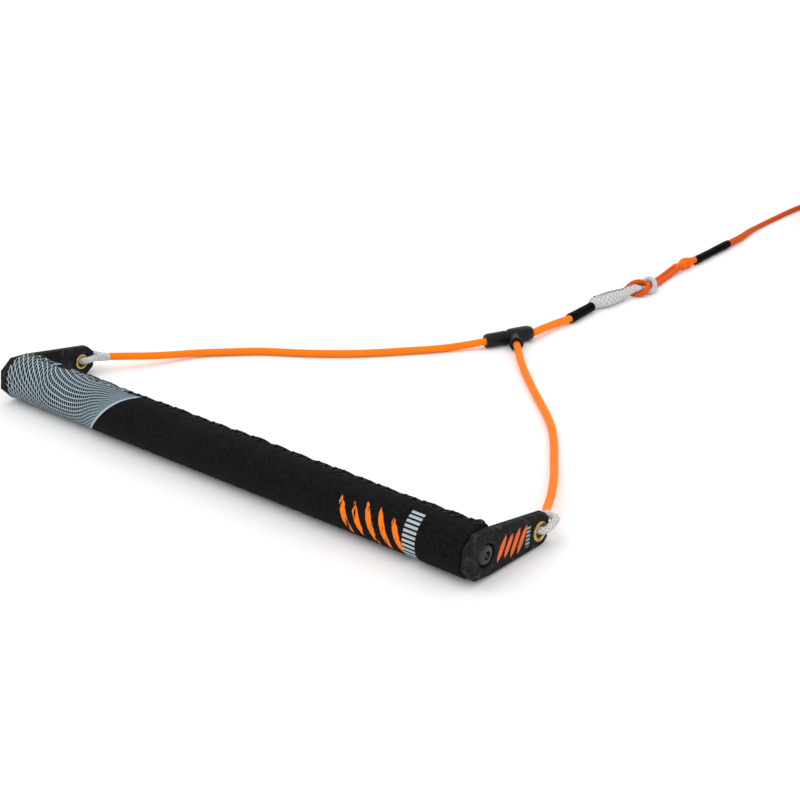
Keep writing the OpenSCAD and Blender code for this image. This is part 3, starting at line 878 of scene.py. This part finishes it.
def make_bolt(name, side):
    """Domed head of the cap's screw, with a hexagon socket."""
    low, high = box_mm("cap_screw_" + name)
    outer = high[0] if side > 0 else low[0]
    centre = (outer, (low[1] + high[1]) / 2, (low[2] + high[2]) / 2)
    radius = (high[1] - low[1]) / 2
    socket, depth, height, crown = 2.6, 2.3, 3.4, 2.4
    flat = socket + 0.35
    dome = [(flat, 0.0)] + [
        (flat + (radius - flat) * math.sin(a), -crown * (1 - math.cos(a)))
        for a in np.linspace(0.15, math.pi / 2, 12)]
    inside = [
        (0.05, -depth - 0.7), (1.2, -depth - 0.25), (socket, -depth), (socket, -0.3), (socket + 0.1, -0.08)]
    profile = inside + dome + [(radius, -height), (3.2, -height), (3.1, -height - 8), (0.05, -height - 8)]

    def hexagon(z, angle, r):
        corner = np.cos(np.pi / 6) / np.cos((angle + 0.2) % (np.pi / 3) - np.pi / 6)
        inner = (r > 0.5) & (r <= socket + 0.12) & (z > -depth - 0.5)
        return np.where(inner, r * (corner - 0.93), 0)

    lathe("bolt_head_" + name, profile, centre, (side, 0, 0), STEEL, "handle",
          ("cap_screw_" + name,), 48, hexagon)


def round_off(node):
    """Melts a CAD part's edges together with modifiers."""
    obj = frame["nodes"][node]
    obj.modifiers.new("weld", "WELD").merge_threshold = 1e-6
    remesh = obj.modifiers.new("remesh", "REMESH")
    remesh.mode, remesh.voxel_size, remesh.use_smooth_shade = "VOXEL", 0.28 * MM, True
    even = obj.modifiers.new("even", "SMOOTH")
    even.factor, even.iterations = 0.5, 3


SIDES = (("left", -1), ("right", 1))
for name, side in SIDES:
    make_bolt(name, side)
    for part, material in (
            ("end_cap_", CAP), ("end_plug_", PLUG), ("plug_insert_", BRASS), ("seal_ring_", SEAL)):
        finish_node(part + name, material)
    soften("end_cap_" + name, 0.45)
for node, material in (("bar_tube", ALUMINIUM), ("foam_sleeve", FOAM), ("tee_moulding", TEE)):
    finish_node(node, material)
round_off("tee_moulding")

TEE_START, TEE_JOINT = np.array((-7, 245.4, 5)), np.array((3, 266.2, 5))
TEE_END, TEE_MOUTH = np.array((9.2, 279.4, 5)), np.array((13.8, 254.8, 5))


def bead(radius, height, across, along):
    """Profile of a rolled rim: an oval of those two half-widths round [radius, height]."""
    turn = np.linspace(0, 2 * math.pi, 16, endpoint=False)
    return [(radius + across * math.cos(a), height + along * math.sin(a)) for a in turn]


def make_tee_details():
    """Ribs along the top of the moulding's thinner half, its fuller other half and the rim of its branch."""
    x, y, z = towards(TEE_START, TEE_END)
    rib_first, rib_pitch, rib_r = 2.2, 1.75, 4.75
    ribs = [(
        [TEE_START + z * (rib_first + rib_pitch * n) + rib_r * (-x * math.sin(a) + y * math.cos(a))
         for a in np.radians((-62, -36, -10, 16, 40, 58))], 0.5, 0.5) for n in range(9)]
    joined_tubes("tee_ribs", ribs, TEE, "bridle")
    run = float(np.linalg.norm(TEE_END - TEE_JOINT))
    swell = [(0.05, -5.2), (4.3, -5), (5.15, -4.2), (5.5, -2), (5.6, 2), (5.6, run - 5), (5.3, run - 2.6),
             (4.6, run - 0.6), (3.7, run + 0.1), (0.05, run + 0.1)]
    lathe("tee_swell", swell, TEE_JOINT + np.array((0, 0, 0.65)), z, TEE, "bridle")
    branch = towards(TEE_JOINT, TEE_MOUTH)[2]
    rim_at = TEE_MOUTH + np.array((0, 0, 0.25))
    lathe("tee_rim", bead(4.25, -0.7, 0.95, 0.95), rim_at, branch, TEE, "bridle")


make_tee_details()


def make_eyelet(name, side):
    """Brass eyelet with a rounded flange outside and a rolled rim inside."""
    origin, axis = (side * CAP_FACE, PIVOT_Y, PIVOT_Z), (side, 0, 0)
    flange = [
        (3.95, 0.35), (4.2, 0.72), (4.8, 0.95), (5.5, 0.92), (6.05, 0.6), (6.25, 0.18), (6.2, -0.02),
        (4.55, -0.02), (4.5, -0.5), (4.48, -5.6), (3.9, -5.6), (3.9, -0.2)]
    rim = bead(4.5, -6.25, 0.78, 0.72)
    lathe("eyelet_flange_" + name, flange, origin, axis, BRASS, "handle", ("eyelet_" + name,))
    lathe("eyelet_rim_" + name, rim, origin, axis, BRASS, "handle", ("eyelet_washer_" + name,))


for name, side in SIDES:
    make_eyelet(name, side)

# ---- eyes

SPLICE_D = 6.0

EYE_IN_LEFT = [
    (-193.4, 27.6, 11.2), (-190.4, 27.6, 11.2), (-188.2, 28.9, 11.2), (-187.3, 32, 11.1), (-187.5, 36, 10.8),
    (-187, 40, 10.4), (-186, 43.6, 10), (-184.6, 46.6, 9.6)]
EYE_OUT_LEFT = [
    (-193.4, 27.6, 11.2), (-196.6, 27.6, 11.2), (-198.9, 29, 11.3), (-199.7, 32, 11.3), (-199.1, 36.4, 11.1),
    (-198.4, 39.3, 10.9), (-196.7, 41.3, 10.6), (-193.7, 42.5, 10.3), (-187.8, 44.8, 9.8)]
EYE_IN_RIGHT = [
    (193.4, 27.6, 11), (190.4, 27.6, 11), (188.2, 28.9, 11), (187.3, 32, 11), (187.5, 36, 10.8),
    (187.2, 40, 10.5), (186.6, 44.4, 10.3), (186, 48.8, 10)]
EYE_OUT_RIGHT = [
    (193.4, 27.6, 11), (196.6, 27.6, 11), (198.9, 29, 11.3), (199.7, 32, 12.1), (199.3, 36.2, 13),
    (198.7, 39.4, 13.4), (197.1, 41.9, 13.2), (193.9, 43.8, 12.3), (190, 46, 11.1), (186.8, 48.2, 10.2)]


NECK_LEFT = [
    (-188.6, 38.6, 10.3, 2.3), (-186.8, 41.6, 10.2, 3), (-185.4, 44.6, 9.8, 2.9), (-183.6, 48, 9.4, 2.5)]
NECK_RIGHT = [(189.4, 44, 10.7, 2.3), (188, 46, 10.4, 2.7), (186, 49, 10, 2.5)]


def make_eye(name, inner, outer, neck):
    """One braid through the eyelet and round the tip of the arm, whose ends meet in a short splice."""
    loop, path = white_rope(
        "eye_braid_" + name, outer[::-1] + inner[1:], EYE_D, 0.04, 3.0, step=0.4, replaces=("eye_" + name,))
    splice = white_rope("eye_splice_" + name, neck, SPLICE_D, lay=3.0, step=0.4)[0]
    return loop, splice, path


eye_left, splice_left, eye_left_path = make_eye("left", EYE_IN_LEFT, EYE_OUT_LEFT, NECK_LEFT)
eye_right, splice_right, eye_right_path = make_eye("right", EYE_IN_RIGHT, EYE_OUT_RIGHT, NECK_RIGHT)

# ---- sleeves, stitches and knot


def make_sleeve(name, start, end, r_in, r_out, node):
    """Shrunk tube: thin lips at its ends and a faint print of the braid under it."""
    start, end = np.array(start, float), np.array(end, float)
    span = float(np.linalg.norm(end - start))
    outside = [(r_out, z) for z in np.linspace(0.6, span - 0.6, int(span / 0.7))]
    profile = [(r_in, 0.3), (r_in + 0.2, 0), (r_out - 0.12, 0.0), (r_out + 0.02, 0.22)] + outside
    profile += [(r_out + 0.02, span - 0.22), (r_out - 0.12, span), (r_in + 0.2, span), (r_in, span - 0.3)]

    def wave(z, angle, r):
        ripple = 0.05 * np.sin(6 * angle + z * 1.4) * np.sin(6 * angle - z * 1.4)
        swell = 0.1 * np.sin(z / 6.5 + 1) + 0.05 * np.sin(z / 2.3)
        return np.where(r > r_out - 0.05, ripple + swell, 0) * np.ones_like(angle)

    return lathe(name, profile, start, end - start, SHRINK, "bridle", (node,), 40, wave)


throat_tube = make_sleeve("throat_shrink", (12.4, 323, 3.8), (10.9, 354, 3.8), 2.85, 3.6, "throat_sleeve")
line_tube = make_sleeve("line_shrink", (16.4, 493, 3.3), (15.8, 546.4, 3.3), 2.8, 3.1, "line_sleeve")
tow_tube = make_sleeve(
    "tow_shrink", tow_point(SLEEVE_START, TOW_R, SLEEVE_Z), tow_point(SLEEVE_END, TOW_R, SLEEVE_Z), 3.0, 4.3,
    "tow_sleeve")


def stem_side(y, degrees, proud):
    """A point beside the loop's stem at that y, turned from the top towards the far side."""
    x, z, r = (np.interp(y, [q[1] for q in STEM], [q[k] for q in STEM]) for k in (0, 2, 3))
    a = math.radians(degrees)
    return x - (r + proud) * math.sin(a), y, z + (r + proud) * math.cos(a)


tail_route = [(*stem_side(y, 48, -0.7), r) for y, r in (
    (356, 1.2), (359, 1.9), (364, 1.9), (370, 1.8), (377, 1.8), (384, 1.7), (391, 1.6), (397, 1.4), (401, 1))]
tail = white_rope("loop_tail", tail_route, 3.4, lay=3.0)[0]
stitch = ((0, 12, -0.1), (0.5, 24, 0.4), (1.0, 34, 0.95), (1.5, 46, 1.35), (2.0, 60, 1.1), (2.3, 72, 0.2))
loops = [([stem_side(361 + 2.7 * n + dy, degrees, proud) for dy, degrees, proud in stitch], 0.3, 0.4)
         for n in range(15)]
loop_stitches = joined_tubes("loop_stitches", loops, GREY_THREAD, "bridle", ("loop_whipping",))


def make_knot():
    """A drawn-up knot in the doubled line: two turns of one strand lean across each other round the other."""
    start, end = np.array((14.6, 468, 4.7)), np.array((16.2, 493, 4.2))
    x, y, z = towards(start, end)
    span = float(np.linalg.norm(end - start))
    wrap = []
    turns, steps = 2.15, 63
    for q in range(steps + 1):
        share = q / steps
        angle = 2 * math.pi * turns * share + 0.9
        out = 2.55 * min(1, math.sin(math.pi * share) * 2.2) ** 0.7
        along = span * (0.2 + 0.56 * share) + 2.0 * math.sin(angle - 0.8) * math.sin(math.pi * share)
        wrap.append(start + z * along + x * out * math.cos(angle) + y * out * math.sin(angle))
    core = [(*(start + z * span * share), r) for share, r in (
        (-0.06, 2), (0.1, 2.5), (0.3, 3.1), (0.55, 3.3), (0.8, 2.9), (1, 2.5), (1.08, 2.3))]
    return wrap, core


wrap, core = make_knot()
knot = line_rope("line_knot_wrap", wrap, 3.8, KNOT_ORANGE, 0.03, step=0.5, replaces=("line_knot",))[0]
knot_core = line_rope("line_knot_core", core, 5, KNOT_ORANGE, 0.03)[0]

# ---- straps round the coil


def make_tie(name, degrees):
    """A hook-and-loop strap round the wound rope, lapped over itself on the outside."""
    a = math.radians(degrees)
    out, across = np.array([math.cos(a), math.sin(a), 0]), np.array([-math.sin(a), math.cos(a), 0])
    centre = np.array([COIL_X, COIL_Y, 0])
    low, high, near, far, corner = 0.5, 33.8, 27.4, 61.7, 3.0
    loop = [(far, 12.0)]
    for (r, z), turn in (((far, high), 0), ((near, high), 1), ((near, low), 2), ((far, low), 3)):
        mid = (r + (-corner if r == far else corner), z + (-corner if z == high else corner))
        for q in range(7):
            b = math.pi / 2 * (turn + q / 6)
            loop.append((mid[0] + corner * math.cos(b), mid[1] + corner * math.sin(b)))
    loop += [(far, 8.0), (far + 0.55, 12.0), (far + 1.05, 16.0), (far + 1.05, 27.0)]
    route = np.array([centre + out * r + np.array([0, 0, z]) for r, z in loop])
    ahead = headings(route)
    lift = np.cross(ahead, across)
    lift /= np.linalg.norm(lift, axis=1)[:, None]
    section = [(7, -0.3), (6.7, -0.5), (-6.7, -0.5), (-7, -0.3), (-7, 0.3), (-6.7, 0.5), (6.7, 0.5), (7, 0.3)]
    rings = np.stack([route + across * u + lift * v for u, v in section], axis=1)
    around = np.array([0, 0.4, 13.8, 14.2, 14.8, 15.2, 28.6, 29, 29.6])
    faces, uv = skin(rings, lengths(route), around)
    return add_mesh(name, rings, faces, STRAP, "bridle", uv, ("coil_ties",), outward=True, flat=True)


tie_a, tie_b = make_tie("coil_tie_a", 90), make_tie("coil_tie_b", 270)

# ---- floor and light


FLOOR_HALF = 6.0
FLOOR_DROP = 0.0002  # keeps the floor clear of what lies on it


def make_floor():
    g = Graph("floor")
    tone = g.mix(g.noise(6.0, 2.0), (0.93, 0.93, 0.93), (0.95, 0.95, 0.95))
    material = g.finish(tone, 0.9, Specular_IOR_Level=0.05)
    mesh = bpy.data.meshes.new("floor")
    corners = [(x * FLOOR_HALF, y * FLOOR_HALF, 0) for x, y in ((-1, -1), (1, -1), (1, 1), (-1, 1))]
    mesh.from_pydata(corners, [], [(0, 1, 2, 3)])
    mesh.materials.append(material)
    floor = bpy.data.objects.new("floor", mesh)
    bpy.context.scene.collection.objects.link(floor)
    floor.location.z = -FLOOR_DROP


def add_light(name, place, target, size, power):
    """A round light. Places and size are in metres and power in watts."""
    data = bpy.data.lights.new(name, "AREA")
    data.shape, data.size, data.energy = "DISK", size, power
    light = bpy.data.objects.new(name, data)
    light.location = place
    light.rotation_euler = (Vector(target) - Vector(place)).to_track_quat("-Z", "Y").to_euler()
    bpy.context.scene.collection.objects.link(light)


def make_world(strength):
    world = bpy.data.worlds.new("studio")
    world.use_nodes = True
    background = world.node_tree.nodes["Background"]
    background.inputs[0].default_value = (1, 1, 1, 1)
    background.inputs[1].default_value = strength
    bpy.context.scene.world = world


make_floor()
make_world(0.97)
add_light("key", (-0.7, -0.8, 2.3), (0, 0.2, 0), 2.8, 14)
add_light("fill", (1.9, -1.2, 1.2), (0, 0.1, 0), 1.8, 7)
add_light("back", (-0.4, 2.2, 1.6), (0, 0.2, 0), 2.0, 6)
bpy.context.scene.view_settings.view_transform = "Standard"
